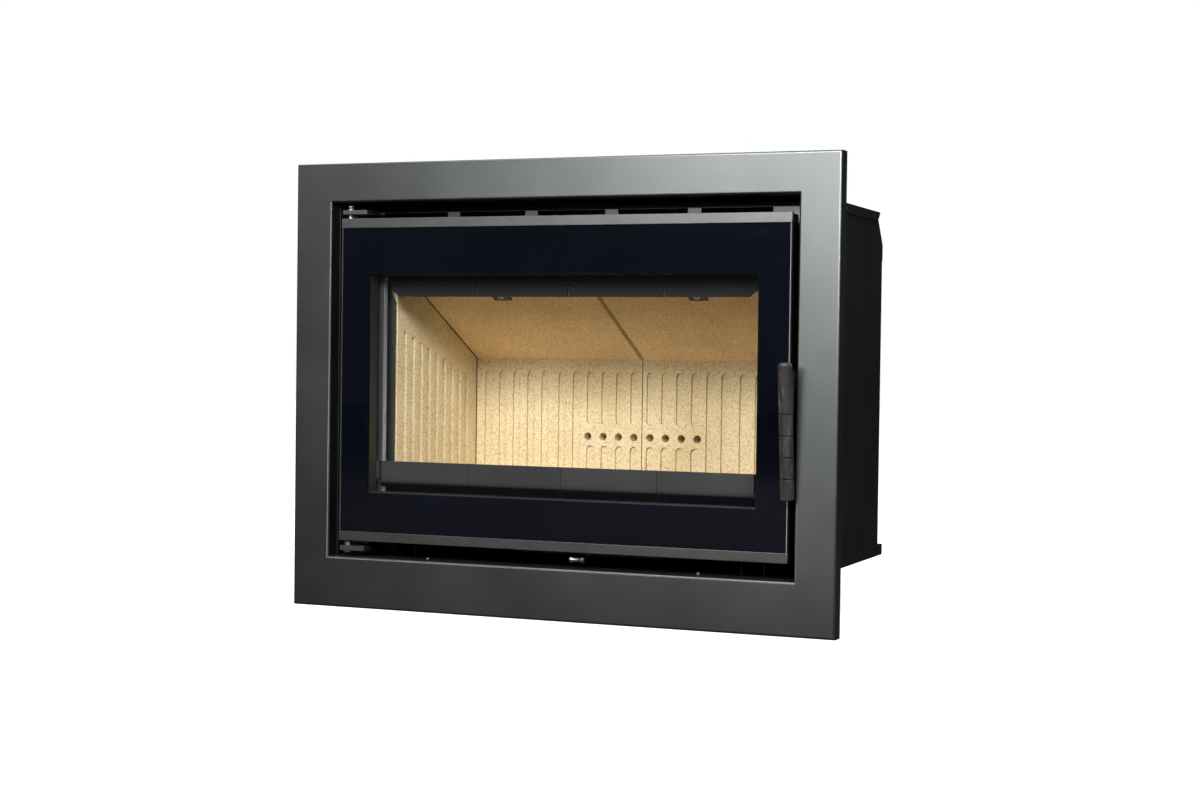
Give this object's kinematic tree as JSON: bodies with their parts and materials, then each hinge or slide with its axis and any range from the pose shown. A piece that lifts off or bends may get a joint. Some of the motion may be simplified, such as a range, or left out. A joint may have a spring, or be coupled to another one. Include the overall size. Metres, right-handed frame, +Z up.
{
  "type": "fireplace insert",
  "caption": "Inset wood-burning fireplace: folded steel surround, convection casing, grooved fire-board firebox, side-hinged glazed door with a drop-bar latch, air slide and flue collar.",
  "frame": {"origin": "middle of the casing base's underside", "axes": "+Z up, front of the fireplace towards -Y, +X to the right seen from the front"},
  "size_m": [0.7, 0.4298, 0.56],
  "materials": {
    "satin_steel": "satin anthracite powder coat",
    "brushed_steel": "brushed",
    "black_paint": "matt black heat-proof paint",
    "stove_paint": "matt stove paint",
    "cast_black": "satin black",
    "fire_board": "pressed mineral board, matt",
    "glass": "heat-proof glass ceramic with a printed dark edge",
    "rope": "woven glass fibre",
    "bolt_steel": "turned, bright"
  },
  "bodies": {
    "casing": {"air_deflector": "cast_black", "air_duct_floor": "black_paint", "air_duct_riser": "black_paint", "air_grille": "satin_steel", "air_slide_guide": "black_paint", "back_board_left": "fire_board", "back_board_right": "fire_board", "baffle_bar": "stove_paint", "baffle_board_left": "fire_board", "baffle_board_right": "fire_board", "baffle_clip_left": "cast_black", "baffle_clip_right": "cast_black", "baffle_screw_left": "bolt_steel", "baffle_screw_right": "bolt_steel", "board_retainer_left": "stove_paint", "board_retainer_right": "stove_paint", "casing_back": "black_paint", "casing_base": "black_paint", "casing_lid": "black_paint", "casing_side_left": "black_paint", "casing_side_right": "black_paint", "firebox_front": "stove_paint", "firebox_shell": "stove_paint", "floor_board_left": "fire_board", "floor_board_right": "fire_board", "flue_collar": "cast_black", "hinge_bracket_bottom": "brushed_steel", "hinge_bracket_top": "brushed_steel", "latch_keeper": "brushed_steel", "log_guard": "cast_black", "rear_spacer_rail": "black_paint", "side_board_left": "fire_board", "side_board_right": "fire_board", "support_rail_left": "black_paint", "support_rail_right": "black_paint", "surround": "satin_steel", "surround_screw_left": "bolt_steel", "surround_screw_right": "bolt_steel"},
    "door": {"door_frame": "stove_paint", "door_glass": "glass", "glass_seal": "rope", "door_seal": "rope", "trim_top": "brushed_steel", "trim_bottom": "brushed_steel", "hinge_pin_top": "bolt_steel", "hinge_pin_bottom": "bolt_steel", "latch_pivot": "bolt_steel"},
    "handle": {"latch_arm": "cast_black", "handle_bar": "cast_black"},
    "air_control": {"air_knob": "bolt_steel", "air_slide": "bolt_steel"}
  },
  "joints": [
    {"name": "door_hinge", "type": "hinge", "parent": "casing", "child": "door", "pos_m": [-0.2835, -0.1805, 0.22], "axis": [0, 0, -1], "range_deg": [0, 95]},
    {"name": "latch_pivot", "type": "hinge", "parent": "door", "child": "handle", "pos_m": [0.2944, -0.178, 0.221], "axis": [-1, 0, 0], "range_deg": [0, 22]},
    {"name": "air_slide", "type": "slide", "parent": "casing", "child": "air_control", "axis": [1, 0, 0], "range_m": [-0.075, 0.005]}
  ]
}
